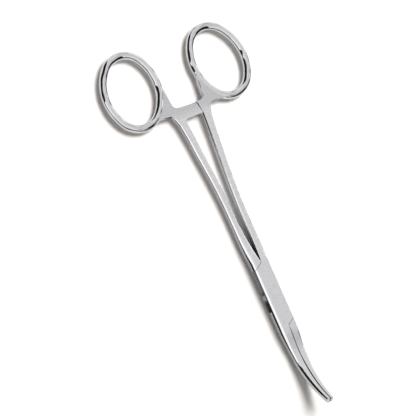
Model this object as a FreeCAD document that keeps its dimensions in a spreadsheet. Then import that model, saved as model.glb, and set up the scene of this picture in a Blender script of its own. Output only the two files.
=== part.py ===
import FreeCAD, Part
import math
import os
import re
import Sketcher

# Curved artery forceps with a box lock, closed on the last click of the ratchet.
# The part lies on its flat side on the plane z = 0, the jaws point to -Y and bend up towards +Z,
# the finger rings lie at +Y, and the origin is on the pivot axis.
# The box half has its ring at +X and its jaw at -X, the through half the other way round.

Vector = FreeCAD.Vector
BOX_SIDE = 1
THROUGH_SIDE = -1

# Driving dimensions in millimetres and degrees
SIZES = {
    "box_width": 6.5,
    "box_thickness": 5.0,
    "box_round": 0.75,
    "notch_middle": 11.8,
    "notch_edge": 9.8,
    "root_length": 0.9,
    "seam_play": 0.1,
    "notch_play": 0.15,
    "tongue_thickness": 2.2,
    "tongue_play": 0.06,
    "tongue_inset": 0.6,
    "hub_radius": 3.0,
    "hub_play": 0.08,
    "waist": 2.2,
    "slot_shoulder": 5.5,
    "pin_radius": 1.6,
    "pin_play": 0.05,
    "neck_station": 21.0,
    "neck_width": 3.0,
    "neck_thickness": 3.4,
    "neck_round": 0.65,
    "slim_station": 34.0,
    "slim_width": 2.4,
    "slim_thickness": 2.8,
    "shank_width": 2.6,
    "shank_thickness": 2.6,
    "shank_round": 0.47,
    "rim_round": 0.38,
    "inner_root_round": 0.25,
    "bow_radius": 454.0,
    "bow_start": 13.8,
    "bow_offset": 2.15,
    "ring_middle": 83.7,
    "plate_length": 23.7,
    "ring_spread": 18.45,
    "ring_long": 13.3,
    "ring_short": 10.37,
    "ring_lean": 7.0,
    "ring_bar": 2.9,
    "ring_end_radius": 8.8,
    "rim_overlap": 0.8,
    "crook_drop": 10.7,
    "crook_shift": 0.2903,
    "corner_shift": 2.3219,
    "web_corner_drop": 2.0,
    "web_outer_drop": 1.5,
    "web_low_across": 1.0,
    "web_side_across": 6.0,
    "web_side_rise": 1.0,
    "web_fillet": 2.0,
    "corner_fillet": 1.2,
    "window_fillet": 1.5,
    "arm_low_drop": 15.5,
    "arm_high_drop": 11.3,
    "arm_reach": 3.6,
    "arm_slant": 0.7,
    "arm_end_play": 0.2,
    "arm_end_fillet": 1.2,
    "tooth_pitch": 1.2,
    "tooth_height": 0.5,
    "tooth_play": 0.08,
    "root_level": 1.0,
    "root_draft": 0.04,
    "bend_start": 20.2,
    "bend_radius": 31.0,
    "bend_sweep": 42.4,
    "jaw_width": 2.7,
    "jaw_thickness": 3.6,
    "jaw_round": 0.55,
    "tip_width": 1.25,
    "tip_thickness": 2.0,
    "tip_round": 0.4,
    "tip_fillet": 0.35,
    "seam_ease": 0.22,
    "seam_ease_swell": 0.1,
    "seam_ease_depth": 2.0,
    "serration_pitch": 0.8,
    "serration_depth": 0.3,
    "serration_crest": 0.08,
    "serration_overcut": 0.01,
    "cut_past": 1.0,
}
TOOTH_COUNT = 3
SERRATION_COUNT = 31
NEAR = 1e-4

document = FreeCAD.newDocument("forceps")
sheet = document.addObject("Spreadsheet::Sheet", "Sizes")
for row, (alias, size) in enumerate(SIZES.items(), start=1):
    sheet.set(f"A{row}", alias)
    sheet.set(f"B{row}", str(size))
    sheet.setAlias(f"B{row}", alias)
document.recompute()


def formula(text):
    """Point each size named in the text at its cell of the sheet."""
    return re.sub(r"[a-z_]+", lambda word: f"Sizes.{word[0]}" if word[0] in SIZES else word[0], text)


def value(text):
    """Number that a formula gives with the sizes as they are."""
    return float(sheet.evalExpression(formula(text)))


def bind(thing, target, text):
    """Drive a property, or a constraint of a sketch, by a formula of the sizes."""
    thing.setExpression(target, formula(text))


def new_body(name):
    return document.addObject("PartDesign::Body", name)


def sketch_on(body, name, role, offset=("0", "0", "0"), turn_axis=None, turn="0"):
    """Sketch on an origin plane of its own body, moved and turned within that plane's frame."""
    sketch = body.newObject("Sketcher::SketchObject", name)
    plane = next(item for item in body.Origin.OriginFeatures if item.Role == role)
    sketch.AttachmentSupport = [(plane, "")]
    sketch.MapMode = "FlatFace"
    base = Vector(*(value(text) for text in offset))
    rotation = FreeCAD.Rotation(turn_axis or Vector(0, 0, 1), value(turn))
    sketch.AttachmentOffset = FreeCAD.Placement(base, rotation)
    for letter, text in zip("xyz", offset):
        bind(sketch, f".AttachmentOffset.Base.{letter}", text)
    if turn_axis:
        bind(sketch, ".AttachmentOffset.Rotation.Angle", turn)
    return sketch


def dimension(sketch, kind, text, *places):
    """Dimension of the sketch that follows a formula."""
    index = sketch.addConstraint(Sketcher.Constraint(kind, *places, value(text)))
    bind(sketch, f"Constraints[{index}]", text)


def outline(sketch, corners):
    """Closed outline through corners given as formulas of how far across and how far along.

    The stretch after a corner is straight, or a quarter round if the corner has a radius too.
    """
    points = [Vector(value(corner[0]), value(corner[1]), 0) for corner in corners]
    count = len(points)
    middle = sum(points, Vector()) / count
    first = sketch.GeometryCount
    ends = []
    for index, corner in enumerate(corners):
        start = points[index]
        end = points[(index + 1) % count]
        if len(corner) == 2:
            sketch.addGeometry(Part.LineSegment(start, end), False)
            ends.append((1, 2))
            continue
        centres = (Vector(start.x, end.y, 0), Vector(end.x, start.y, 0))
        centre = min(centres, key=middle.distanceToPoint)
        turns_left = (start - centre).cross(end - centre).z > 0
        low = (start if turns_left else end) - centre
        angle = math.atan2(low.y, low.x)
        whole = Part.Circle(centre, Vector(0, 0, 1), value(corner[2]))
        sketch.addGeometry(Part.ArcOfCircle(whole, angle, angle + math.pi / 2), False)
        ends.append((1, 2) if turns_left else (2, 1))
    for index in range(count):
        follower = (index + 1) % count
        sketch.addConstraint(Sketcher.Constraint(
            "Coincident", first + index, ends[index][1], first + follower, ends[follower][0]))
    for index, corner in enumerate(corners):
        dimension(sketch, "DistanceX", corner[0], -1, 1, first + index, ends[index][0])
        dimension(sketch, "DistanceY", corner[1], -1, 1, first + index, ends[index][0])
        if len(corner) == 3:
            dimension(sketch, "Radius", corner[2], first + index)
    return sketch


def circle(sketch, radius):
    """Circle about the sketch's origin."""
    index = sketch.addGeometry(Part.Circle(Vector(0, 0, 0), Vector(0, 0, 1), value(radius)), False)
    sketch.addConstraint(Sketcher.Constraint("Coincident", index, 3, -1, 1))
    dimension(sketch, "Radius", radius, index)
    return sketch


def upright_ellipse(sketch, tall, wide):
    """Ellipse about the sketch's origin, its long axis upright, from its half height and half width."""
    top = Vector(0, value(tall), 0)
    right = Vector(value(wide), 0, 0)
    index = sketch.addGeometry(Part.Ellipse(top, right, Vector(0, 0, 0)), False)
    sketch.exposeInternalGeometry(index)
    sketch.addConstraint(Sketcher.Constraint("Coincident", index, 3, -1, 1))
    sketch.addConstraint(Sketcher.Constraint("Vertical", index + 1))
    dimension(sketch, "Distance", f"2 * ({tall})", index + 1)
    dimension(sketch, "Distance", f"2 * ({wide})", index + 2)
    return sketch


def extrude(body, kind, name, sketch, length, centred=False, backwards=False):
    """Pad or pocket of a sketch over a length."""
    feature = body.newObject(f"PartDesign::{kind}", name)
    feature.Profile = sketch
    feature.Midplane = centred
    feature.Reversed = backwards
    bind(feature, "Length", length)
    document.recompute()
    return feature


def loft(body, name, sections):
    feature = body.newObject("PartDesign::AdditiveLoft", name)
    feature.Profile = sections[0]
    feature.Sections = sections[1:]
    feature.Ruled = False
    document.recompute()
    return feature


def dress(body, kind, name, base, edges, size):
    """Fillet or chamfer of the listed edges of the feature before it."""
    feature = body.newObject(f"PartDesign::{kind}", name)
    feature.Base = (base, edges)
    bind(feature, "Radius" if kind == "Fillet" else "Size", size)
    document.recompute()
    return feature


def middle_of(edge):
    return edge.valueAt((edge.FirstParameter + edge.LastParameter) / 2)


def edges_where(shape, test):
    """Names of the edges whose end points and middle all pass the test."""
    names = []
    for index, edge in enumerate(shape.Edges, start=1):
        points = [vertex.Point for vertex in edge.Vertexes] + [middle_of(edge)]
        if all(test(point) for point in points):
            names.append(f"Edge{index}")
    return names


def upright_edge_at(shape, across, along):
    """Names of the edges that stand on the given point of the plan."""
    x, y = value(across), value(along)
    return edges_where(shape, lambda point: abs(point.x - x) < NEAR and abs(point.y - y) < NEAR)


def mirrored(side, corners):
    return [(f"{side} * ({across})", *rest) for across, *rest in corners]


MIDDLE = "box_thickness / 2"
SEAM = "seam_play / 2"
ROOT_END = "(notch_middle + root_length)"
WALL = "box_width / 2"
CREST = "(serration_depth / 2 - seam_play / 2)"

# Stations of the web and of the ratchet arm, counted back from the middle of the rings
PLATE_START = "(ring_middle - plate_length)"
CROOK_STATION = "(ring_middle - crook_drop)"
ARM_LOW = "(ring_middle - arm_low_drop)"
ARM_HIGH = "(ring_middle - arm_high_drop)"

# The oval of a ring: where the centres of its arcs lie, and where each end arc meets a side arc
RING_RISE = "(ring_long - ring_end_radius)"
RING_SIDE = ("((pow(ring_long; 2) + pow(ring_short; 2) - 2 * ring_long * ring_end_radius)"
             " / (2 * (ring_short - ring_end_radius)))")
RING_REACH = f"({RING_SIDE} - ring_short)"
RING_TURN = f"atan({RING_RISE} / {RING_REACH})"


def round_flanks(body, name, base):
    """Rounded edges along the outer flanks of the lock, on its upper and lower face."""
    half = value(WALL)
    top = value("box_thickness")

    def on_flank(point):
        return abs(abs(point.x) - half) < NEAR and min(abs(point.z), abs(point.z - top)) < NEAR

    return dress(body, "Fillet", name, base, edges_where(base.Shape, on_flank), "box_round")


def lock_box():
    """Box with the slot that the other half passes through, and the hole for the pin."""
    side = BOX_SIDE
    body = new_body("lock_box")
    plan = sketch_on(body, "box_plan", "XY_Plane")
    outline(plan, mirrored(side, [
        (SEAM, "notch_middle"),
        (f"-{WALL}", "notch_edge"),
        (f"-{WALL}", f"-{ROOT_END}"),
        (f"-{SEAM}", f"-{ROOT_END}"),
        (f"-{SEAM}", "-notch_middle"),
        (WALL, "-notch_edge"),
        (WALL, ROOT_END),
        (SEAM, ROOT_END),
    ]))
    block = extrude(body, "Pad", "box_block", plan, "box_thickness")
    round_flanks(body, "box_flanks", block)

    # The slot is open on both sides, and its round middle gives the hub room
    slot_height = "(tongue_thickness + 2 * tongue_play)"
    slot_floor = f"{MIDDLE} - {slot_height} / 2"
    hub_room = "(hub_radius + hub_play)"
    past_end = f"({ROOT_END} + cut_past)"
    past_wall = "box_width"
    slot_plan = sketch_on(body, "slot_plan", "XY_Plane", ("0", "0", slot_floor))
    outline(slot_plan, mirrored(side, [
        (SEAM, past_end),
        (SEAM, "slot_shoulder"),
        (past_wall, "slot_shoulder"),
        (past_wall, f"-{past_end}"),
        (f"-{SEAM}", f"-{past_end}"),
        (f"-{SEAM}", "-slot_shoulder"),
        (f"-{past_wall}", "-slot_shoulder"),
        (f"-{past_wall}", past_end),
    ]))
    extrude(body, "Pocket", "slot", slot_plan, slot_height, backwards=True)
    hub_plan = circle(sketch_on(body, "hub_room_plan", "XY_Plane", ("0", "0", slot_floor)), hub_room)
    extrude(body, "Pocket", "hub_room", hub_plan, slot_height, backwards=True)
    hole_plan = circle(sketch_on(body, "box_hole_plan", "XY_Plane"), "pin_radius")
    extrude(body, "Pocket", "box_hole", hole_plan, "box_thickness", backwards=True)
    return body


def lock_tongue():
    """Thin tongue with its hub, between the two roots of full thickness."""
    side = THROUGH_SIDE
    body = new_body("lock_tongue")
    floor = f"{MIDDLE} - tongue_thickness / 2"
    flank = f"({WALL} - tongue_inset)"
    plan = sketch_on(body, "tongue_plan", "XY_Plane", ("0", "0", floor))
    outline(plan, mirrored(side, [
        (SEAM, "waist / 2"),
        (SEAM, ROOT_END),
        (flank, ROOT_END),
        (flank, "waist"),
        ("waist / 2", "-waist / 2"),
        (f"-{SEAM}", "-waist / 2"),
        (f"-{SEAM}", f"-{ROOT_END}"),
        (f"-{flank}", f"-{ROOT_END}"),
        (f"-{flank}", "-waist"),
        ("-waist / 2", "waist / 2"),
    ]))
    extrude(body, "Pad", "tongue", plan, "tongue_thickness")
    hub_plan = circle(sketch_on(body, "hub_plan", "XY_Plane", ("0", "0", floor)), "hub_radius")
    extrude(body, "Pad", "hub", hub_plan, "tongue_thickness")
    roots_plan = sketch_on(body, "roots_plan", "XY_Plane")
    for turn in ("", "-"):
        outline(roots_plan, mirrored(side, [
            (f"{turn}{SEAM}", f"{turn}(notch_middle + notch_play)"),
            (f"{turn}{SEAM}", f"{turn}{ROOT_END}"),
            (f"{turn}{WALL}", f"{turn}{ROOT_END}"),
            (f"{turn}{WALL}", f"{turn}(notch_edge + notch_play)"),
        ]))
    roots = extrude(body, "Pad", "roots", roots_plan, "box_thickness")
    round_flanks(body, "root_flanks", roots)
    hole_plan = circle(sketch_on(body, "tongue_hole_plan", "XY_Plane"), "pin_radius + pin_play")
    extrude(body, "Pocket", "tongue_hole", hole_plan, "box_thickness", backwards=True)
    return body


def bow(station):
    """Distance of a shank's middle from the axis: the shanks bow apart on a wide arc."""
    return f"(bow_offset + pow(({station}) - bow_start; 2) / (2 * bow_radius))"


def shank_section(body, side, name, station, middle, width, thickness, outer_round, inner_round):
    """Section of a bar with rounded edges across the shank, on a plane square to the Y axis."""
    sketch = sketch_on(body, name, "XZ_Plane", ("0", MIDDLE, f"-({station})"))
    inner = f"({middle} - {width} / 2)"
    outer = f"({middle} + {width} / 2)"
    top = f"{thickness} / 2"
    return outline(sketch, mirrored(side, [
        (f"{inner} + {inner_round}", f"-{top}", inner_round),
        (inner, f"-({top} - {inner_round})"),
        (inner, f"{top} - {inner_round}", inner_round),
        (f"{inner} + {inner_round}", top),
        (f"{outer} - {outer_round}", top, outer_round),
        (outer, f"{top} - {outer_round}"),
        (outer, f"-({top} - {outer_round})", outer_round),
        (f"{outer} - {outer_round}", f"-{top}"),
    ]))


def shank(side, half):
    """Slender shank from the lock to the ratchet, thinner as it leaves the lock."""
    body = new_body(f"{half}_shank")
    root_width = f"({WALL} - {SEAM})"
    root_middle = f"({SEAM} + {root_width} / 2)"
    stations = (
        ("root", ROOT_END, root_middle, root_width, "box_thickness", "box_round", "inner_root_round"),
        ("neck", "neck_station", bow("neck_station"), "neck_width", "neck_thickness",
         "neck_round", "neck_round"),
        ("slim", "slim_station", bow("slim_station"), "slim_width", "slim_thickness",
         "shank_round", "shank_round"),
        ("rise", f"(slim_station + {PLATE_START}) / 2", bow(f"(slim_station + {PLATE_START}) / 2"),
         "((slim_width + shank_width) / 2)", "((slim_thickness + shank_thickness) / 2)",
         "shank_round", "shank_round"),
        ("end", PLATE_START, bow(PLATE_START), "shank_width", "shank_thickness",
         "shank_round", "shank_round"),
    )
    sections = [
        shank_section(body, side, f"{half}_{name}_section", *sizes)
        for name, *sizes in stations
    ]
    loft(body, f"{half}_shank_bar", sections)
    return body


def ring_arc(side, half, quarter, centre, radius, start, sweep):
    """One arc of a finger ring, a bent round bar, placed in the oval that leans in at the top."""
    bar = document.addObject("Part::Torus", f"{half}_ring_{quarter}")
    bind(bar, "Radius1", radius)
    bind(bar, "Radius2", "ring_bar / 2")
    bind(bar, "Angle3", sweep)
    across, along = centre
    lean = f"({side} * ring_lean)"
    bind(bar, ".Placement.Base.x", f"{side} * ring_spread + {across} * cos({lean}) - {along} * sin({lean})")
    bind(bar, ".Placement.Base.y", f"ring_middle + {across} * sin({lean}) + {along} * cos({lean})")
    bind(bar, ".Placement.Base.z", MIDDLE)
    bind(bar, ".Placement.Rotation.Angle", f"{start} + {side} * ring_lean * 1 deg")
    return bar


def ring(side, half):
    """Finger ring: four tangent arcs of round bar, two tight ones at the ends and two wide ones beside."""
    wide = f"(180 deg - 2 * {RING_TURN})"
    narrow = f"(2 * {RING_TURN})"
    return [
        ring_arc(side, half, "top", ("0", RING_RISE), "ring_end_radius", RING_TURN, wide),
        ring_arc(side, half, "left", (RING_REACH, "0"), RING_SIDE, f"180 deg - {RING_TURN}", narrow),
        ring_arc(side, half, "bottom", ("0", f"(-{RING_RISE})"), "ring_end_radius",
                 f"180 deg + {RING_TURN}", wide),
        ring_arc(side, half, "right", (f"(-{RING_REACH})", "0"), RING_SIDE, f"(-{RING_TURN})", narrow),
    ]


def plate(side, half, layer, carries_arm):
    """Half the thickness of the flat web between shank and ring.

    One half of it runs out into the ratchet arm, and the other ends in the stub that the
    arm of the other half meets.
    """
    body = new_body(f"{half}_{layer}_plate")
    upper = layer == "upper"
    height = "(shank_thickness / 2)"
    floor = MIDDLE if upper else f"{MIDDLE} - {height}"
    face = value(f"{MIDDLE} + {height}") if upper else value(floor)
    start_inner = (f"{bow(PLATE_START)} - shank_width / 2", PLATE_START)
    start_outer = (f"{bow(PLATE_START)} + shank_width / 2", PLATE_START)
    if carries_arm:
        window = (f"{bow(ARM_LOW)} - shank_width / 2", ARM_LOW)
        arm = [
            window,
            ("-arm_reach", ARM_LOW),
            ("-(arm_reach - arm_slant)", ARM_HIGH),
        ]
    else:
        arm = [
            ("arm_reach + arm_end_play", ARM_LOW),
            ("arm_reach + arm_end_play - arm_slant", ARM_HIGH),
        ]
    corner_station = f"({ARM_HIGH} - web_corner_drop)"
    crook = (f"({bow(CROOK_STATION)} + crook_shift)", CROOK_STATION)
    corner = (f"({bow(corner_station)} + corner_shift)", corner_station)
    leftmost = ("ring_spread - ring_short - ring_bar / 2 + rim_overlap", "ring_middle")
    lowest = "ring_middle - ring_long - ring_bar / 2 + rim_overlap"
    corners = [start_inner, *arm, crook, leftmost,
               ("ring_spread", "ring_middle"),
               ("ring_spread + web_low_across", lowest),
               ("ring_spread - web_side_across", f"{lowest} + web_side_rise"),
               corner, (f"{bow(ARM_LOW)} + shank_width / 2", f"{ARM_LOW} - web_outer_drop"), start_outer]
    plan = sketch_on(body, f"{half}_{layer}_plan", "XY_Plane", ("0", "0", floor))
    outline(plan, mirrored(side, corners))
    feature = extrude(body, "Pad", f"{half}_{layer}_slab", plan, height)

    # The finger opening
    opening = sketch_on(body, f"{half}_{layer}_opening_plan", "XY_Plane",
                        (f"{side} * ring_spread", "ring_middle", floor), Vector(0, 0, 1),
                        f"{side} * ring_lean")
    upright_ellipse(opening, "ring_long", "ring_short")
    feature = extrude(body, "Pocket", f"{half}_{layer}_opening", opening, height, backwards=True)

    rounds = [("crook", crook, "web_fillet"), ("corner", corner, "corner_fillet")]
    if carries_arm:
        rounds += [("window", window, "window_fillet"), ("arm_end", arm[2], "arm_end_fillet")]
    for name, (across, along), radius in rounds:
        edges = upright_edge_at(feature.Shape, f"{side} * ({across})", along)
        feature = dress(body, "Fillet", f"{half}_{layer}_{name}", feature, edges, radius)

    # Rounded rims of the free outline, but not where it meets the shank, the ring or the other arm
    start = value(PLATE_START)
    reach = value("arm_reach + arm_end_play")
    middle = Vector(side * value("ring_spread"), value("ring_middle"), face)
    rim = value("ring_long + ring_bar / 2")

    def free(point):
        beside_arm = side * point.x > reach
        clear_of_ring = point.distanceToPoint(middle) > rim
        return abs(point.z - face) < NEAR and beside_arm and clear_of_ring

    names = []
    for name in edges_where(feature.Shape, free):
        edge = feature.Shape.Edges[int(name[4:]) - 1]
        if middle_of(edge).y > start + NEAR:
            names.append(name)
    dress(body, "Fillet", f"{half}_{layer}_rims", feature, names, "rim_round")

    if carries_arm:
        cut_teeth(body, side, half, 1 if upper else -1)
    return body


def cut_teeth(body, side, half, up):
    """Saw teeth across the face of the arm that lies against the other half's arm."""
    crest = f"{up} * tooth_play / 2"
    valley = f"{up} * (tooth_play / 2 + tooth_height)"
    beyond = f"{-up} * cut_past"
    start = f"-{TOOTH_COUNT} * tooth_pitch / 2"
    profile = [("-arm_reach - cut_past", beyond), ("-arm_reach - cut_past", valley), (start, valley)]
    for index in range(TOOTH_COUNT):
        profile.append((f"{start} + {index + 1} * tooth_pitch", crest))
        if index + 1 < TOOTH_COUNT:
            profile.append((f"{start} + {index + 1} * tooth_pitch", valley))
    profile += [("arm_reach - arm_slant", crest), ("arm_reach - arm_slant", beyond)]
    sketch = sketch_on(body, f"{half}_teeth_profile", "XZ_Plane",
                       ("0", MIDDLE, f"-({ARM_LOW} + {ARM_HIGH}) / 2"))
    outline(sketch, mirrored(side, profile))
    extrude(body, "Pocket", f"{half}_teeth", sketch, f"{ARM_HIGH} - {ARM_LOW} + 2 * cut_past", centred=True)


def jaw_section(body, side, name, along, rise, tilt, width, thickness, outer_round, ease):
    """Section of half a rounded bar, square to the bent jaw, its flat at the serrations' crest.

    The edges beside the flat are eased, so that the closed jaws leave a fine groove between them.
    """
    sketch = sketch_on(body, name, "XZ_Plane", ("0", f"{MIDDLE} + {rise}", along),
                       Vector(1, 0, 0), f"-({tilt})")
    outer = f"({width} + seam_play / 2)"
    top = f"{thickness} / 2"
    depth = f"{top} - seam_ease_depth * {ease}"
    return outline(sketch, mirrored(side, [
        (CREST, f"-({depth})"),
        (CREST, depth),
        (f"{CREST} - {ease}", top),
        (f"-({outer} - {outer_round})", top, outer_round),
        (f"-{outer}", f"{top} - {outer_round}"),
        (f"-{outer}", f"-({top} - {outer_round})", outer_round),
        (f"-({outer} - {outer_round})", f"-{top}"),
        (f"{CREST} - {ease}", f"-{top}"),
    ]))


def jaw(side, half):
    """Tapered jaw, straight from the lock and then bent upwards on an arc."""
    body = new_body(f"{half}_jaw")
    sections = [
        jaw_section(body, side, f"{half}_jaw_{name}", station, "0", "0",
                    f"({WALL} - {SEAM})", thickness, "box_round", "seam_ease")
        for name, station, thickness in (
            ("root", ROOT_END, "box_thickness"),
            ("level", f"({ROOT_END} + root_level)", "(box_thickness - root_draft)"),
        )
    ]
    steps = 4
    for index in range(steps + 1):
        share = f"{index} / {steps}"
        tilt = f"bend_sweep * {share}"
        sections.append(jaw_section(
            body, side, f"{half}_jaw_{index}",
            f"bend_start + bend_radius * sin({tilt})",
            f"bend_radius * (1 - cos({tilt}))",
            tilt,
            f"(jaw_width + (tip_width - jaw_width) * {share})",
            f"(jaw_thickness + (tip_thickness - jaw_thickness) * {share})",
            f"(jaw_round + (tip_round - jaw_round) * {share})",
            f"(seam_ease + seam_ease_swell * 4 * {share} * (1 - {share}))",
        ))
    bar = loft(body, f"{half}_jaw_bar", sections)

    # Round the outer edges of the tip
    tilt = "bend_sweep"
    tip = Vector(0, -value(f"bend_start + bend_radius * sin({tilt})"),
                 value(f"{MIDDLE} + bend_radius * (1 - cos({tilt}))"))
    normal = Vector(0, -value(f"cos({tilt})"), value(f"sin({tilt})"))
    crest = side * value(CREST)
    eased = value("seam_ease") + NEAR

    def on_end(point):
        return abs((point - tip).dot(normal)) < NEAR

    names = [name for name in edges_where(bar.Shape, on_end)
             if any(abs(vertex.Point.x - crest) > eased
                    for vertex in bar.Shape.Edges[int(name[4:]) - 1].Vertexes)]
    dress(body, "Fillet", f"{half}_tip", bar, names, "tip_fillet")

    # Cross serrations: the crests of one jaw stand in the grooves of the other
    shift = "serration_pitch / 2" if side == BOX_SIDE else "serration_pitch"
    groove = "(serration_pitch - serration_crest) / 2"
    wide_groove = f"({groove} * (1 + serration_overcut / serration_depth))"
    centre = f"(bend_start + {shift})"

    # Plain stretch from the lock to where the first groove's flank falls below the seam
    relief = sketch_on(body, f"{half}_relief_plan", "XY_Plane", ("0", "0", "-cut_past"))
    outline(relief, mirrored(side, [
        (f"-{SEAM}", f"-({ROOT_END} - cut_past)"),
        ("serration_depth", f"-({ROOT_END} - cut_past)"),
        ("serration_depth", f"-({centre} - {groove} / 2)"),
        (f"-{SEAM}", f"-({centre} - {groove} / 2)"),
    ]))
    extrude(body, "Pocket", f"{half}_relief", relief, "box_thickness + 2 * cut_past", backwards=True)

    profile = sketch_on(body, f"{half}_groove_profile", "XY_Plane", ("0", "0", MIDDLE))
    outline(profile, mirrored(side, [
        (f"{CREST} - serration_depth", f"-{centre}"),
        (f"{CREST} + serration_overcut", f"-({centre} + {wide_groove})"),
        (f"{CREST} + serration_overcut", f"-({centre} - {wide_groove})"),
    ]))
    first = extrude(body, "Pocket", f"{half}_groove", profile, "box_thickness + cut_past", centred=True)
    axis = sketch_on(body, f"{half}_bend_axis", "XY_Plane", ("0", "-bend_start", f"{MIDDLE} + bend_radius"))
    pattern = body.newObject("PartDesign::PolarPattern", f"{half}_serrations")
    pattern.Originals = [first]
    pattern.Axis = (axis, ["H_Axis"])
    pattern.Reversed = True
    pattern.Occurrences = SERRATION_COUNT
    bind(pattern, "Angle", f"{SERRATION_COUNT - 1} * serration_pitch / bend_radius * 180 / pi")
    body.Tip = pattern
    document.recompute()
    return body


def forged_half(side, half, label, core):
    """One half of the instrument, forged in one piece from jaw to finger ring."""
    arm_layer = "lower" if side == BOX_SIDE else "upper"
    bodies = [core, shank(side, half), *ring(side, half), jaw(side, half)]
    bodies += [plate(side, half, layer, layer == arm_layer) for layer in ("upper", "lower")]
    forging = document.addObject("Part::MultiFuse", label)
    forging.Label = label
    forging.Shapes = bodies
    forging.Refine = True
    return forging


def pivot_pin():
    """Pin pressed into the box and ground flush with it on both faces."""
    pin = document.addObject("Part::Cylinder", "pivot_pin")
    pin.Label = "pivot_pin"
    bind(pin, "Radius", "pin_radius")
    bind(pin, "Height", "box_thickness")
    return pin


pieces = [
    forged_half(BOX_SIDE, "box", "box_half", lock_box()),
    forged_half(THROUGH_SIDE, "through", "through_half", lock_tongue()),
    pivot_pin(),
]
document.recompute()

for item in document.Objects:
    if {"Invalid", "Error"} & set(item.State):
        raise RuntimeError(f"{item.Name} failed: {item.State}")
for piece in pieces:
    if piece.Shape.isNull() or not piece.Shape.isValid() or len(piece.Shape.Solids) != 1:
        raise RuntimeError(f"{piece.Label} has no valid single solid")

os.makedirs("parts", exist_ok=True)
for piece in pieces:
    piece.Shape.exportStep(f"parts/{piece.Label}.step")
    print(piece.Label, round(piece.Shape.Volume, 2), piece.Shape.BoundBox)
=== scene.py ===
"""Curved artery forceps in satin and polished stainless steel, lying on a white studio table."""

import bpy
import numpy as np
from bpy.props import FloatProperty, FloatVectorProperty, PointerProperty
from mathutils import Matrix, Vector


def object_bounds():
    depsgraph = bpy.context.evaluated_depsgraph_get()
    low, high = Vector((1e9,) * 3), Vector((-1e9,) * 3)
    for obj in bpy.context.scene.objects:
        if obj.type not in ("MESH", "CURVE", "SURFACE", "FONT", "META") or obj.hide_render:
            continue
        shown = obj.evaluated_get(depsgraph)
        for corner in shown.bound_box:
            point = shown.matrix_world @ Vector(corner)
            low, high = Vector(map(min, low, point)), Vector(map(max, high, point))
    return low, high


bl_info = {
    "name": "Curved Artery Forceps",
    "version": (1, 0, 0),
    "blender": (4, 5, 0),
    "location": "View3D > Sidebar > Forceps",
    "description": "Finishes the forceps in stainless steel and sets up the studio round them",
    "category": "Object",
}

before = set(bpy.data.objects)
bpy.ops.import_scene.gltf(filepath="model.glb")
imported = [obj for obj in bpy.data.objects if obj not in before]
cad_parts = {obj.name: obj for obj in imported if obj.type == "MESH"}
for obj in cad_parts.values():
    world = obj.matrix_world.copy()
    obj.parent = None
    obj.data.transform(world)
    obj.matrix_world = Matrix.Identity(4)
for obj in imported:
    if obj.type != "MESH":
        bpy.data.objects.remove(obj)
BOUNDS_BEFORE = [list(corner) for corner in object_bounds()]

# The forceps lie along Y with the rings at +Y, the halves on both sides of the plane x = 0
MM = 0.001

# The lock: how far its notches reach from the pivot, how far the tongue's sides lie from the
# middle plane, and how much painted shade these get
NOTCH_REACH = 13.0 * MM
RECESS_REACH = 2.9 * MM
RECESS_SHADE_SHARE = 0.6

# The bend of the jaws: where it starts, its radius, and the height of its axis over the table
BEND_START = 20.2 * MM
BEND_RADIUS = 31.0 * MM
BEND_AXIS_HEIGHT = 33.5 * MM

# Where one finish of the steel gives way to the next, and where painted shade comes in, told by
# how a face turns. The turn to an axis is 0 on a face that lies along it and 1 on a face that
# looks along it
BUFFED_SIDE = {"From Min": 0.12, "From Max": 0.35}
BUFFED_TILT = {"From Min": 0.995, "From Max": 0.96}
STEEP_SIDE = {"From Min": 0.35, "From Max": 0.75}
FLANK_SIDE = {"From Min": 0.7, "From Max": 0.9}
UPPER_SIDE = {"From Min": 0.15, "From Max": 0.5}
END_TURN = 0.5

# The same by place: faces that look back at the middle plane and the roots of the jaws, which
# bound painted shade, and the stretch over which the polish and the painted shade of the rings
# come in
LOOKING_IN = {"From Min": 0.0, "From Max": -0.1 * MM}
JAW_ROOTS = {"From Min": -NOTCH_REACH, "From Max": -NOTCH_REACH - 1 * MM}
RING_FADE = 4 * MM

# Marks of the brush: their length in pitches, how deep they are and how much they roughen. Real
# marks lie about 0.05 mm apart, too fine to show, so the pitch is drawn coarser
MARK_LENGTH = 8
MARK_DEPTH = 0.02 * MM
MARK_STRENGTH = 0.6
MARK_NOISE = {"Scale": 1.0, "Detail": 3.0, "Roughness": 0.6}
MARK_COLOUR_SPAN = {"From Min": 0.35, "From Max": 0.6}
MARK_ROUGH_SPAN = {"From Min": 0.3, "From Max": 0.7}
MARK_ROUGHNESS = 0.05

# The light tent, by direction, as where each change begins and is whole: the roof's fade along
# X, the walls on both sides, the left wall, the openings, the foot of the walls and the corner
ROOF_FADE = {"From Min": 0.25, "From Max": 0.65}
ROOF_FALL = 0.2
WALL_EDGE = {"From Min": 0.6, "From Max": 0.85}
LEFT_EDGE = {"From Min": -0.95, "From Max": -0.6}
OPENING_SHIFT = 0.12
OPENING_EDGE = {"From Min": -0.15, "From Max": -0.09}
GAP_EDGE = {"From Min": 0.37, "From Max": 0.43}
CORNER_EDGE = {"From Min": 0.05, "From Max": 0.18}

# The picture: its width in pixels, and where it shows the pivot, from its left and from its top
PICTURE_PIXELS = 416
PIVOT_PIXEL = (271.8, 294.8)
PIVOT = (0, 0, 2.5 * MM)

# Directions from the instrument to the camera and to the lamp, and the picture's upward direction
CAMERA_BACK = (-0.469, -0.044, 0.882)
CAMERA_UP = (0.3365, 0.9145, 0.2245)
LAMP_BACK = (0.3, 0.2, 0.93)
SENSOR_MM = 36
CLIP_START = 10 * MM

# The table: how far it reaches to each side, and how many lines its grid has each way
TABLE_REACH = 2000 * MM
TABLE_LINES = 9


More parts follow.
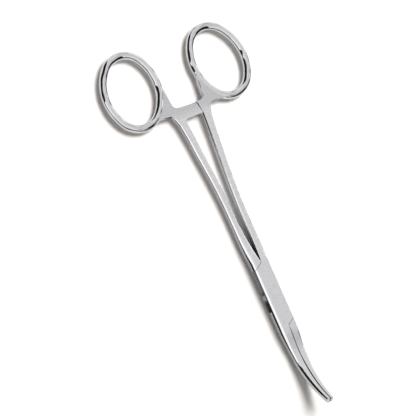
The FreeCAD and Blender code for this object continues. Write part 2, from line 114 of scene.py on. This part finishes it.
def linear_colour(code):
    """Linear RGBA of an sRGB hex code."""
    channels = [int(code[start:start + 2], 16) / 255 for start in (1, 3, 5)]
    return (*[c / 12.92 if c <= 0.04045 else ((c + 0.055) / 1.055) ** 2.4 for c in channels], 1.0)


class ForcepsSteelSettings(bpy.types.PropertyGroup):
    """Finish of the steel."""

    steel_colour: FloatVectorProperty(
        name="Steel Colour", description="Reflected colour of the stainless steel",
        default=linear_colour("#E0E0E2"), size=4, min=0, max=1, subtype="COLOR")
    mark_colour: FloatVectorProperty(
        name="Mark Colour", description="Reflected colour of the marks of the brush",
        default=linear_colour("#CFCFD2"), size=4, min=0, max=1, subtype="COLOR")
    # Painted shade: faces that don't look up, and most of the rings, take this darker colour for the
    # shade they mirror
    flank_shade_colour: FloatVectorProperty(
        name="Flank Colour",
        description="Reflected colour of the flanks, which the wheel leaves duller",
        default=linear_colour("#B9B9BB"), size=4, min=0, max=1, subtype="COLOR")
    # Painted shade: the faces between the halves, the lock's walls and the jaws' seam take this dark
    # colour
    painted_shade_colour: FloatVectorProperty(
        name="Inner Colour",
        description="Reflected colour of the faces between the halves, never buffed",
        default=linear_colour("#525153"), size=4, min=0, max=1, subtype="COLOR")
    # How far from the middle plane the painted shade between the halves reaches
    painted_shade_reach: FloatProperty(
        name="Inner Reach", description="How far from the middle plane the unbuffed faces lie",
        default=1.8 * MM, min=0, max=0.01, unit="LENGTH")
    # How far from the middle plane the painted shade line along the jaws' seam reaches
    seam_shade_reach: FloatProperty(
        name="Seam Reach",
        description="How far from the middle plane the dull line of the jaws' seam goes",
        default=0.22 * MM, min=0, max=0.005, unit="LENGTH")
    satin_roughness: FloatProperty(
        name="Satin Roughness",
        description="Roughness of the flat faces, brushed across the instrument",
        default=0.34, min=0, max=1, subtype="FACTOR")
    polished_roughness: FloatProperty(
        name="Polished Roughness",
        description="Roughness of the edges and finger rings, which are buffed",
        default=0.05, min=0, max=1, subtype="FACTOR")
    hatch_pitch: FloatProperty(
        name="Hatch Pitch", description="Distance between the marks that the brush leaves",
        default=0.25 * MM, min=0.05 * MM, max=5 * MM, unit="LENGTH")
    wave_pitch: FloatProperty(
        name="Wave Pitch", description="Length of the waves that hand buffing leaves on the rings",
        default=4.0 * MM, min=0.5 * MM, max=50 * MM, unit="LENGTH")
    wave_height: FloatProperty(
        name="Wave Height", description="Height of the waves that hand buffing leaves on the rings",
        default=0.7 * MM, min=0, max=1 * MM, unit="LENGTH")
    # The rest of the rings' bright colour gives way to the flank colour: painted shade
    ring_unshaded_share: FloatProperty(
        name="Ring Share",
        description="How much of the bright steel colour the rings and their webs keep",
        default=0.45, min=0, max=1, subtype="FACTOR")
    slope_start: FloatProperty(
        name="Slope Start",
        description="How far above the middle of a flank its sloping part starts",
        default=0.45 * MM, min=0, max=5 * MM, unit="LENGTH")
    slope: FloatProperty(
        name="Slope", description="How much the sloping part of a flank falls back for its height",
        default=0.75, min=0, max=2, subtype="FACTOR")
    # The rings' painted shade begins here too, together with their polish
    polish_start: FloatProperty(
        name="Polish Start", description="Distance from the pivot at which the polished rings begin",
        default=68 * MM, min=0, max=0.2, unit="LENGTH")


class ForcepsStageSettings(bpy.types.PropertyGroup):
    """Studio and camera."""

    table_colour: FloatVectorProperty(
        name="Table Colour", description="Colour of the table",
        default=linear_colour("#F5F2EF"), size=4, min=0, max=1, subtype="COLOR")
    camera_distance: FloatProperty(
        name="Camera Distance", description="Distance from the camera to the middle of the picture",
        default=0.65, min=0.1, max=5, unit="LENGTH")
    picture_width: FloatProperty(
        name="Picture Width", description="Width that the picture takes in at the instrument",
        default=145.2 * MM, min=0.01, max=1, unit="LENGTH")
    table_lift: FloatProperty(
        name="Table Lift", description="Brightness added to the table where it is seen",
        default=0.05, min=0, max=1, subtype="FACTOR")
    key_power: FloatProperty(
        name="Key Power", description="Power of the large soft lamp",
        default=46.0, min=0, max=500, unit="POWER")
    key_size: FloatProperty(
        name="Key Size", description="Width of the large soft lamp",
        default=1.0, min=0.05, max=3, unit="LENGTH")
    key_distance: FloatProperty(
        name="Key Distance", description="Distance of the large soft lamp from the instrument",
        default=2.0, min=0.2, max=10, unit="LENGTH")
    roof_level: FloatProperty(
        name="Roof Level", description="Brightness of the tent overhead",
        default=0.89, min=0, max=2, subtype="FACTOR")
    wall_level: FloatProperty(
        name="Wall Level", description="Brightness of the tent's walls beside the instrument",
        default=1.5, min=0, max=3, subtype="FACTOR")
    tent_share: FloatProperty(
        name="Tent Share", description="Part of the tent's brightness that lights the table",
        default=0.2, min=0, max=1, subtype="FACTOR")
    gap_level: FloatProperty(
        name="Gap Level", description="Brightness of the dark openings of the tent",
        default=0.02, min=0, max=2, subtype="FACTOR")
    left_level: FloatProperty(
        name="Left Level", description="Brightness of the wall nearest to the camera",
        default=1.9, min=0, max=3, subtype="FACTOR")


def add_node(tree, kind, inputs=(), links=(), **settings):
    """One node with its settings, its socket values and its incoming links."""
    node = tree.nodes.new(kind)
    for name, content in settings.items():
        setattr(node, name, content)
    for socket, content in dict(inputs).items():
        node.inputs[socket].default_value = content
    for socket, source in dict(links).items():
        tree.links.new(source, node.inputs[socket])
    return node


def new_material(name):
    """Empty material with its output node."""
    material = bpy.data.materials.new(name)
    material.use_nodes = True
    material.node_tree.nodes.clear()
    output = material.node_tree.nodes.new("ShaderNodeOutputMaterial")
    return material, material.node_tree, output


def wheel_reach(tree, facing, sideways, at_rings):
    """Shares of the steel that the buffing wheel reaches: on the rings every face that isn't
    level, and these together with every face that turns sideways.
    """
    by_side = add_node(tree, "ShaderNodeMapRange", BUFFED_SIDE, {"Value": sideways.outputs[0]},
                       interpolation_type="SMOOTHSTEP")
    level = add_node(tree, "ShaderNodeMath", links={0: facing.outputs["Z"]}, operation="ABSOLUTE")
    tilted = add_node(tree, "ShaderNodeMapRange", BUFFED_TILT, {"Value": level.outputs[0]},
                      interpolation_type="SMOOTHSTEP")
    by_ring = add_node(tree, "ShaderNodeMath",
                       links={0: tilted.outputs[0], 1: at_rings.outputs[0]}, operation="MULTIPLY")
    buffed = add_node(tree, "ShaderNodeMath",
                      links={0: by_side.outputs[0], 1: by_ring.outputs[0]}, operation="MAXIMUM")
    return by_ring, buffed


def inner_shade_faces(tree, place, facing, steep, off_plane, settings):
    """Share of painted shade on the faces by the middle plane that look at each other across it.
    It is whole within a third of its reach.
    """
    inward = add_node(tree, "ShaderNodeMath",
                      links={0: place.outputs["X"], 1: facing.outputs["X"]}, operation="MULTIPLY")
    looks_in = add_node(tree, "ShaderNodeMapRange", LOOKING_IN, {"Value": inward.outputs[0]},
                        interpolation_type="SMOOTHSTEP")
    near_plane = add_node(tree, "ShaderNodeMapRange",
                          {"From Min": settings.painted_shade_reach, "From Max": settings.painted_shade_reach / 3},
                          {"Value": off_plane.outputs[0]}, interpolation_type="SMOOTHSTEP")
    between = add_node(tree, "ShaderNodeMath",
                       links={0: looks_in.outputs[0], 1: near_plane.outputs[0]},
                       operation="MULTIPLY")
    return add_node(tree, "ShaderNodeMath", links={0: between.outputs[0], 1: steep.outputs[0]},
                    operation="MULTIPLY")


def lock_shade_faces(tree, place, facing, steep, off_plane):
    """Painted shade on the lock's walls: those of the notches, and the tongue's sides deep in the
    slot.
    """
    endwise = add_node(tree, "ShaderNodeMath", links={0: facing.outputs["Y"]}, operation="ABSOLUTE")
    to_end = add_node(tree, "ShaderNodeMath", {1: END_TURN}, {0: endwise.outputs[0]},
                      operation="GREATER_THAN")
    from_pivot = add_node(tree, "ShaderNodeMath", links={0: place.outputs["Y"]},
                          operation="ABSOLUTE")
    at_lock = add_node(tree, "ShaderNodeMath", {1: NOTCH_REACH}, {0: from_pivot.outputs[0]},
                       operation="LESS_THAN")
    notch = add_node(tree, "ShaderNodeMath", links={0: to_end.outputs[0], 1: at_lock.outputs[0]},
                     operation="MULTIPLY")
    in_wall = add_node(tree, "ShaderNodeMath", {1: RECESS_REACH}, {0: off_plane.outputs[0]},
                       operation="LESS_THAN")
    in_recess = add_node(tree, "ShaderNodeMath",
                         links={0: in_wall.outputs[0], 1: at_lock.outputs[0]}, operation="MULTIPLY")
    recess = add_node(tree, "ShaderNodeMath",
                      links={0: in_recess.outputs[0], 1: steep.outputs[0]}, operation="MULTIPLY")
    half_seen = add_node(tree, "ShaderNodeMath", {1: RECESS_SHADE_SHARE}, {0: recess.outputs[0]},
                         operation="MULTIPLY")
    return add_node(tree, "ShaderNodeMath", links={0: notch.outputs[0], 1: half_seen.outputs[0]},
                    operation="MAXIMUM")


def jaw_seam_shade(tree, place, off_plane, settings):
    """Share of the thin line of painted shade along the seam of the jaws, whose edges are broken
    by hand. It is whole within half of its reach.
    """
    at_seam = add_node(tree, "ShaderNodeMapRange",
                       {"From Min": settings.seam_shade_reach, "From Max": settings.seam_shade_reach / 2},
                       {"Value": off_plane.outputs[0]}, interpolation_type="SMOOTHSTEP")
    on_jaws = add_node(tree, "ShaderNodeMapRange", JAW_ROOTS, {"Value": place.outputs["Y"]},
                       interpolation_type="SMOOTHSTEP")
    return add_node(tree, "ShaderNodeMath", links={0: at_seam.outputs[0], 1: on_jaws.outputs[0]},
                    operation="MULTIPLY")


def painted_shade_faces(tree, place, facing, sideways, settings):
    """Share of painted shade: between the halves, on the lock's walls and along the jaws' seam."""
    off_plane = add_node(tree, "ShaderNodeMath", links={0: place.outputs["X"]}, operation="ABSOLUTE")
    steep = add_node(tree, "ShaderNodeMapRange", STEEP_SIDE, {"Value": sideways.outputs[0]},
                     interpolation_type="SMOOTHSTEP")
    inner = inner_shade_faces(tree, place, facing, steep, off_plane, settings)
    of_lock = lock_shade_faces(tree, place, facing, steep, off_plane)
    in_lock = add_node(tree, "ShaderNodeMath", links={0: inner.outputs[0], 1: of_lock.outputs[0]},
                       operation="MAXIMUM")
    seam = jaw_seam_shade(tree, place, off_plane, settings)
    return add_node(tree, "ShaderNodeMath", links={0: in_lock.outputs[0], 1: seam.outputs[0]},
                    operation="MAXIMUM")


def brush_marks(tree, where, settings):
    """Marks of the brush: a noise drawn out across the instrument."""
    pitch = settings.hatch_pitch
    stretch = add_node(tree, "ShaderNodeMapping",
                       {"Scale": (1 / (MARK_LENGTH * pitch), 1 / pitch, 1 / pitch)},
                       {"Vector": where.outputs["Object"]})
    return add_node(tree, "ShaderNodeTexNoise", MARK_NOISE, {"Vector": stretch.outputs["Vector"]})


def steel_colours(tree, facing, hatch, at_rings, buffed, dark, settings):
    """Colour of the steel: marked on the flats, painted shade on flanks, rings and between halves.
    """
    clean = add_node(tree, "ShaderNodeMapRange", MARK_COLOUR_SPAN, {"Value": hatch.outputs["Fac"]})
    unmarked = add_node(tree, "ShaderNodeMath",
                        links={0: clean.outputs[0], 1: buffed.outputs[0]}, operation="MAXIMUM")
    top = add_node(tree, "ShaderNodeMix", {"A": settings.mark_colour, "B": settings.steel_colour},
                   {"Factor": unmarked.outputs[0]}, data_type="RGBA")
    # Painted shade: faces that don't look up, and most of the rings, take the flank colour
    upward = add_node(tree, "ShaderNodeMapRange", UPPER_SIDE, {"Value": facing.outputs["Z"]},
                      interpolation_type="SMOOTHSTEP")
    off_ring = add_node(tree, "ShaderNodeMapRange", {"To Min": 1.0, "To Max": settings.ring_unshaded_share},
                        {"Value": at_rings.outputs[0]})
    bright = add_node(tree, "ShaderNodeMath",
                      links={0: upward.outputs[0], 1: off_ring.outputs[0]}, operation="MULTIPLY")
    outer = add_node(tree, "ShaderNodeMix", {"A": settings.flank_shade_colour},
                     {"Factor": bright.outputs[0], "B": top.outputs["Result"]}, data_type="RGBA")
    # Painted shade, darker still, between the halves, on the lock's walls and along the jaws' seam
    return add_node(tree, "ShaderNodeMix", {"B": settings.painted_shade_colour},
                    {"Factor": dark.outputs[0], "A": outer.outputs["Result"]}, data_type="RGBA")


def sloped_flanks(tree, place, sideways, at_rings, settings):
    """Bump of the flanks' upper part, which is ground back to a slope.

    How high a point lies on a flank is measured from the flank's middle line, which runs level
    and then up along the bend of the jaws: the bend's radius less the distance to its axis.
    """
    past_bend = add_node(tree, "ShaderNodeMath", {1: BEND_START}, {0: place.outputs["Y"]},
                         operation="ADD")
    along_bend = add_node(tree, "ShaderNodeMath", {1: 0.0}, {0: past_bend.outputs[0]},
                          operation="MINIMUM")
    under_axis = add_node(tree, "ShaderNodeMath", {0: BEND_AXIS_HEIGHT}, {1: place.outputs["Z"]},
                          operation="SUBTRACT")
    arm = add_node(tree, "ShaderNodeCombineXYZ",
                   links={"X": along_bend.outputs[0], "Y": under_axis.outputs[0]})
    reach = add_node(tree, "ShaderNodeVectorMath", links={0: arm.outputs[0]}, operation="LENGTH")
    height = add_node(tree, "ShaderNodeMath", {0: BEND_RADIUS}, {1: reach.outputs["Value"]},
                      operation="SUBTRACT")
    over = add_node(tree, "ShaderNodeMath", {1: settings.slope_start}, {0: height.outputs[0]},
                    operation="SUBTRACT")
    above = add_node(tree, "ShaderNodeMath", {1: 0.0}, {0: over.outputs[0]}, operation="MAXIMUM")
    ground = add_node(tree, "ShaderNodeMath", {1: -settings.slope}, {0: above.outputs[0]},
                      operation="MULTIPLY")
    on_flank = add_node(tree, "ShaderNodeMapRange", FLANK_SIDE, {"Value": sideways.outputs[0]},
                        interpolation_type="SMOOTHSTEP")
    before_rings = add_node(tree, "ShaderNodeMath", {0: 1.0}, {1: at_rings.outputs[0]},
                            operation="SUBTRACT")
    share = add_node(tree, "ShaderNodeMath",
                     links={0: on_flank.outputs[0], 1: before_rings.outputs[0]},
                     operation="MULTIPLY")
    return add_node(tree, "ShaderNodeBump", {"Distance": 1.0},
                    {"Height": ground.outputs[0], "Strength": share.outputs[0]})


def ring_waves(tree, where, by_ring, under, settings):
    """Bump of the waves that hand buffing leaves on the rings, which break their reflections
    into patches.
    """
    wave = add_node(tree, "ShaderNodeTexNoise", {"Scale": 1 / settings.wave_pitch, "Detail": 0.0},
                    {"Vector": where.outputs["Object"]})
    return add_node(tree, "ShaderNodeBump", {"Distance": settings.wave_height},
                    {"Height": wave.outputs["Fac"], "Strength": by_ring.outputs[0],
                     "Normal": under.outputs["Normal"]})


def brushed_stainless_steel(settings):
    """Stainless steel: flats brushed across the instrument, everything rounded buffed.

    The brush leaves the flats pale and even with a fine hatch that softens every reflection.
    The buffed edges and finger rings show hard bright and dark reflections of the room.
    """
    material, tree, output = new_material("brushed_stainless_steel")
    where = add_node(tree, "ShaderNodeTexCoord")
    place = add_node(tree, "ShaderNodeSeparateXYZ", links={"Vector": where.outputs["Object"]})
    facing = add_node(tree, "ShaderNodeSeparateXYZ", links={"Vector": where.outputs["Normal"]})
    sideways = add_node(tree, "ShaderNodeMath", links={0: facing.outputs["X"]},
                        operation="ABSOLUTE")
    at_rings = add_node(tree, "ShaderNodeMapRange",
                        {"From Min": settings.polish_start,
                         "From Max": settings.polish_start + RING_FADE},
                        {"Value": place.outputs["Y"]}, interpolation_type="SMOOTHSTEP")

    by_ring, buffed = wheel_reach(tree, facing, sideways, at_rings)
    # Painted shade between the halves, on the lock's walls and along the jaws' seam
    dark = painted_shade_faces(tree, place, facing, sideways, settings)
    hatch = brush_marks(tree, where, settings)
    colour = steel_colours(tree, facing, hatch, at_rings, buffed, dark, settings)

    # The marks of the brush roughen the flats unevenly, and the wheel takes them off
    coarse = add_node(tree, "ShaderNodeMapRange",
                      {**MARK_ROUGH_SPAN, "To Min": settings.satin_roughness - MARK_ROUGHNESS,
                       "To Max": settings.satin_roughness + MARK_ROUGHNESS},
                      {"Value": hatch.outputs["Fac"]})
    rough = add_node(tree, "ShaderNodeMix", {"B": settings.polished_roughness},
                     {"Factor": buffed.outputs[0], "A": coarse.outputs[0]})
    depth = add_node(tree, "ShaderNodeMapRange", {"To Min": MARK_STRENGTH, "To Max": 0.0},
                     {"Value": buffed.outputs[0]})
    rounded = sloped_flanks(tree, place, sideways, at_rings, settings)
    wavy = ring_waves(tree, where, by_ring, rounded, settings)
    bump = add_node(tree, "ShaderNodeBump", {"Distance": MARK_DEPTH},
                    {"Height": hatch.outputs["Fac"], "Strength": depth.outputs[0],
                     "Normal": wavy.outputs["Normal"]})

    shader = add_node(tree, "ShaderNodeBsdfPrincipled", {"Metallic": 1.0},
                      {"Base Color": colour.outputs["Result"],
                       "Roughness": rough.outputs["Result"], "Normal": bump.outputs["Normal"]})
    tree.links.new(shader.outputs[0], output.inputs["Surface"])
    return material


def white_laminate(settings):
    """White laminate, pressed matt: the table shows no reflection, only the soft shadow.

    To the eye and in the steel it is lifted to plain white, and where the instrument keeps the
    light off it the shadow stays.
    """
    material, tree, output = new_material("white_laminate")
    matt = add_node(tree, "ShaderNodeBsdfDiffuse", {"Color": settings.table_colour})
    path = add_node(tree, "ShaderNodeLightPath")
    seen = add_node(tree, "ShaderNodeMath", links={0: path.outputs["Is Camera Ray"],
                                                   1: path.outputs["Is Glossy Ray"]},
                    operation="ADD")
    shown = add_node(tree, "ShaderNodeMath", links={0: seen.outputs[0],
                                                    1: path.outputs["Is Transmission Ray"]},
                     operation="ADD")
    share = add_node(tree, "ShaderNodeMath", {1: settings.table_lift}, {0: shown.outputs[0]},
                     operation="MULTIPLY")
    lift = add_node(tree, "ShaderNodeEmission", {"Color": settings.table_colour},
                    {"Strength": share.outputs[0]})
    both = add_node(tree, "ShaderNodeAddShader", links={0: matt.outputs[0], 1: lift.outputs[0]})
    tree.links.new(both.outputs[0], output.inputs["Surface"])
    return material


def tent_walls(tree, split, settings):
    """Brightness of the tent's cloth: a roof that fades to the right, and brighter walls on the
    left and on the right, the left one brightest.
    """
    beside = add_node(tree, "ShaderNodeMath", links={0: split.outputs["X"]}, operation="ABSOLUTE")
    roof = add_node(tree, "ShaderNodeMapRange",
                    {**ROOF_FADE, "To Min": settings.roof_level + ROOF_FALL,
                     "To Max": settings.roof_level - ROOF_FALL}, {"Value": split.outputs["X"]})
    walls = add_node(tree, "ShaderNodeMapRange", {**WALL_EDGE, "To Max": settings.wall_level},
                     {"Value": beside.outputs[0], "To Min": roof.outputs[0]},
                     interpolation_type="SMOOTHSTEP")
    left = add_node(tree, "ShaderNodeMapRange",
                    {**LEFT_EDGE, "To Min": settings.left_level - settings.wall_level,
                     "To Max": 0.0}, {"Value": split.outputs["X"]},
                    interpolation_type="SMOOTHSTEP")
    return add_node(tree, "ShaderNodeMath", links={0: walls.outputs[0], 1: left.outputs[0]},
                    operation="ADD")


def tent_openings(tree, split, settings):
    """Share of the cloth's brightness that the tent keeps where it is open.

    It is open over two opposite corners, left by the rings and right by the jaws, where X less a
    shift, times Y, falls below a limit. Below the foot of the walls it is open all round, but not
    at the right corner by the rings, which the raised jaws mirror.
    """
    shifted = add_node(tree, "ShaderNodeMath", {1: OPENING_SHIFT}, {0: split.outputs["X"]},
                       operation="SUBTRACT")
    corner = add_node(tree, "ShaderNodeMath",
                      links={0: shifted.outputs[0], 1: split.outputs["Y"]}, operation="MULTIPLY")
    openings = add_node(tree, "ShaderNodeMapRange",
                        {**OPENING_EDGE, "To Min": settings.gap_level, "To Max": 1.0},
                        {"Value": corner.outputs[0]}, interpolation_type="SMOOTHSTEP")
    gap = add_node(tree, "ShaderNodeMapRange",
                   {**GAP_EDGE, "To Min": settings.gap_level, "To Max": 1.0},
                   {"Value": split.outputs["Z"]}, interpolation_type="SMOOTHSTEP")
    to_right = add_node(tree, "ShaderNodeMath", {1: 0.0}, {0: split.outputs["X"]},
                        operation="MAXIMUM")
    by_rings = add_node(tree, "ShaderNodeMath",
                        links={0: to_right.outputs[0], 1: split.outputs["Y"]},
                        operation="MULTIPLY")
    bright_corner = add_node(tree, "ShaderNodeMapRange", CORNER_EDGE, {"Value": by_rings.outputs[0]},
                             interpolation_type="SMOOTHSTEP")
    low = add_node(tree, "ShaderNodeMath",
                   links={0: gap.outputs[0], 1: bright_corner.outputs[0]}, operation="MAXIMUM")
    return add_node(tree, "ShaderNodeMath", links={0: openings.outputs[0], 1: low.outputs[0]},
                    operation="MULTIPLY")


def studio_world(settings):
    """Soft light tent round the table.

    The steel shows the tent as it is, while the table gets most of its light from the lamp.
    """
    world = bpy.data.worlds.new("studio")
    world.use_nodes = True
    tree = world.node_tree
    tree.nodes.clear()
    where = add_node(tree, "ShaderNodeTexCoord")
    split = add_node(tree, "ShaderNodeSeparateXYZ", links={"Vector": where.outputs["Generated"]})
    walls = tent_walls(tree, split, settings)
    openings = tent_openings(tree, split, settings)
    tent = add_node(tree, "ShaderNodeMath", links={0: walls.outputs[0], 1: openings.outputs[0]},
                    operation="MULTIPLY")
    path = add_node(tree, "ShaderNodeLightPath")
    share = add_node(tree, "ShaderNodeMapRange", {"To Min": 1.0, "To Max": settings.tent_share},
                     {"Value": path.outputs["Is Diffuse Ray"]})
    level = add_node(tree, "ShaderNodeMath", links={0: tent.outputs[0], 1: share.outputs[0]},
                     operation="MULTIPLY")
    light = add_node(tree, "ShaderNodeBackground", {"Color": (1, 1, 1, 1)},
                     {"Strength": level.outputs[0]})
    output = tree.nodes.new("ShaderNodeOutputWorld")
    tree.links.new(light.outputs[0], output.inputs["Surface"])
    return world


def grid_surface(name, points, material):
    """Mesh object from a grid of points, rows by columns, joined into four-sided faces."""
    rows, columns = points.shape[:2]
    index = np.arange(rows * columns).reshape(rows, columns)
    faces = np.stack([index[:-1, :-1], index[:-1, 1:], index[1:, 1:], index[1:, :-1]], axis=-1)
    mesh = bpy.data.meshes.new(name)
    mesh.from_pydata(points.reshape(-1, 3).tolist(), [], faces.reshape(-1, 4).tolist())
    mesh.materials.append(material)
    made = bpy.data.objects.new(name, mesh)
    bpy.context.scene.collection.objects.link(made)
    return made


def table_top(settings):
    """Level square at the height of the instrument's lowest point: both coordinates run evenly
    from one side to the other. It fills the picture, because the camera looks down on it.
    """
    side = np.linspace(-TABLE_REACH, TABLE_REACH, TABLE_LINES)
    across, along = np.meshgrid(side, side)
    height = np.full_like(across, BOUNDS_BEFORE[0][2])
    return grid_surface("table", np.stack([across, along, height], axis=-1),
                        white_laminate(settings))


def photo_camera(settings):
    """Camera that shows the pivot at its place in the picture."""
    back = Vector(CAMERA_BACK).normalized()
    right = Vector(CAMERA_UP).cross(back).normalized()
    up = back.cross(right)
    pixel = settings.picture_width / PICTURE_PIXELS
    from_left, from_top = (place - PICTURE_PIXELS / 2 for place in PIVOT_PIXEL)
    middle = Vector(PIVOT) - right * pixel * from_left + up * pixel * from_top
    data = bpy.data.cameras.new("camera")
    data.sensor_width = SENSOR_MM
    data.lens = SENSOR_MM * settings.camera_distance / settings.picture_width
    data.clip_start = CLIP_START
    camera = bpy.data.objects.new("camera", data)
    turn = Matrix((right, up, back)).transposed().to_4x4()
    camera.matrix_world = Matrix.Translation(middle + back * settings.camera_distance) @ turn
    return camera


def key_lamp(settings):
    """Large soft lamp, high on the side of the box half, so that the shadow falls to the other
    side. The steel doesn't mirror it.
    """
    data = bpy.data.lights.new("key_lamp", "AREA")
    data.shape = "SQUARE"
    data.size = settings.key_size
    data.energy = settings.key_power
    lamp = bpy.data.objects.new("key_lamp", data)
    lamp.visible_glossy = False
    back = Vector(LAMP_BACK).normalized()
    turn = back.to_track_quat("Z", "Y").to_matrix().to_4x4()
    lamp.matrix_world = Matrix.Translation(back * settings.key_distance) @ turn
    return lamp


class FORCEPS_OT_steel(bpy.types.Operator):
    """Give every forged piece its stainless steel finish"""

    bl_idname = "forceps.steel"
    bl_label = "Finish the Steel"

    def execute(self, context):
        material = brushed_stainless_steel(context.scene.forceps_steel)
        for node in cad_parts.values():
            node.data.materials.clear()
            node.data.materials.append(material)
        return {"FINISHED"}


class FORCEPS_OT_stage(bpy.types.Operator):
    """Set up the table, the lamp, the light tent and the camera"""

    bl_idname = "forceps.stage"
    bl_label = "Set Up the Studio"

    def execute(self, context):
        settings = context.scene.forceps_stage
        scene = context.scene
        table_top(settings)
        camera = photo_camera(settings)
        scene.collection.objects.link(camera)
        scene.camera = camera
        scene.collection.objects.link(key_lamp(settings))
        scene.world = studio_world(settings)
        scene.view_settings.view_transform = "Standard"
        return {"FINISHED"}


class FORCEPS_PT_panel(bpy.types.Panel):
    """Sidebar panel with the settings and the steps of the forceps"""

    bl_idname = "FORCEPS_PT_panel"
    bl_label = "Forceps"
    bl_space_type = "VIEW_3D"
    bl_region_type = "UI"
    bl_category = "Forceps"

    def draw(self, context):
        for settings in (context.scene.forceps_steel, context.scene.forceps_stage):
            for name in settings.__annotations__:
                self.layout.prop(settings, name)
        for operator in OPERATORS:
            self.layout.operator(operator.bl_idname)


SETTINGS = {"forceps_steel": ForcepsSteelSettings, "forceps_stage": ForcepsStageSettings}
OPERATORS = (FORCEPS_OT_steel, FORCEPS_OT_stage)


def register():
    for made in (*SETTINGS.values(), *OPERATORS, FORCEPS_PT_panel):
        bpy.utils.register_class(made)
    for name, made in SETTINGS.items():
        setattr(bpy.types.Scene, name, PointerProperty(type=made))


def unregister():
    for name in SETTINGS:
        delattr(bpy.types.Scene, name)
    for made in (FORCEPS_PT_panel, *reversed(OPERATORS), *reversed(SETTINGS.values())):
        bpy.utils.unregister_class(made)


def main():
    register()
    for operator in OPERATORS:
        group, name = operator.bl_idname.split(".")
        getattr(getattr(bpy.ops, group), name)()


if __name__ == "__main__":
    main()
